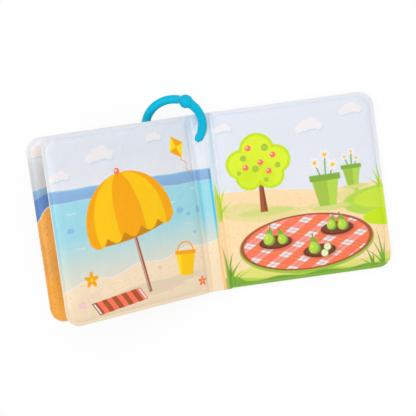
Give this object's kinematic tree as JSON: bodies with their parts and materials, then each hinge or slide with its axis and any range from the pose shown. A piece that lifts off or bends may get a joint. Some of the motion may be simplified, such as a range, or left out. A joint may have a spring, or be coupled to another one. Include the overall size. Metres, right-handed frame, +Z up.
{
  "type": "bath book",
  "caption": "Soft padded bath book, open flat, with heat-sealed film leaves on a folding spine and a split ring through its gutter strip.",
  "frame": {"origin": "under the middle of the open book's bounding box, on the surface that it lies on", "axes": "+X across the open spread from front cover to back cover, +Y along the spine to the pages' top edge, +Z up"},
  "size_m": [0.2868, 0.1686, 0.0908],
  "materials": {
    "cover_film": "satin",
    "page_film": "satin",
    "strip_film": "satin",
    "foam": "matte",
    "ring": "gloss"
  },
  "bodies": {
    "back_cover": {"back_cover_inside_film": "cover_film", "back_cover_foam_pad": "foam", "back_cover_outside_film": "cover_film", "leaf_2_hinge_strip": "strip_film", "back_cover_hinge_strip": "strip_film"},
    "leaf_2": {"leaf_2_front_film": "page_film", "leaf_2_foam_pad": "foam", "leaf_2_back_film": "page_film"},
    "spine": {"spine_outer_strip": "strip_film", "spine_inner_strip": "strip_film"},
    "front_cover": {"front_cover_inside_film": "cover_film", "front_cover_foam_pad": "foam", "front_cover_outside_film": "cover_film", "leaf_1_hinge_strip": "strip_film"},
    "leaf_1": {"leaf_1_front_film": "page_film", "leaf_1_foam_pad": "foam", "leaf_1_back_film": "page_film"},
    "ring": {"split_ring": "ring"}
  },
  "joints": [
    {"name": "spine_fold", "type": "hinge", "parent": "back_cover", "child": "spine", "pos_m": [0.00384, -0.0093, 0.0087], "axis": [0, 1, 0], "range_deg": [0, 90]},
    {"name": "front_cover_fold", "type": "hinge", "parent": "spine", "child": "front_cover", "pos_m": [-0.01406, -0.0093, 0.0091], "axis": [0, 1, 0], "range_deg": [0, 69]},
    {"name": "leaf_1_turn", "type": "hinge", "parent": "front_cover", "child": "leaf_1", "pos_m": [-0.01358, -0.0093, 0.01368], "axis": [0, -1, 0], "range_deg": [-63, 13]},
    {"name": "leaf_2_turn", "type": "hinge", "parent": "back_cover", "child": "leaf_2", "pos_m": [0.00624, -0.0093, 0.00655], "axis": [0, 1, 0], "range_deg": [-88, 0]},
    {"name": "ring_slide", "type": "hinge", "parent": "spine", "child": "ring", "pos_m": [-0.02436, 0.0591, 0.01221], "axis": [-0.0401, -0.3711, 0.9277], "range_deg": [-31, 77]}
  ]
}
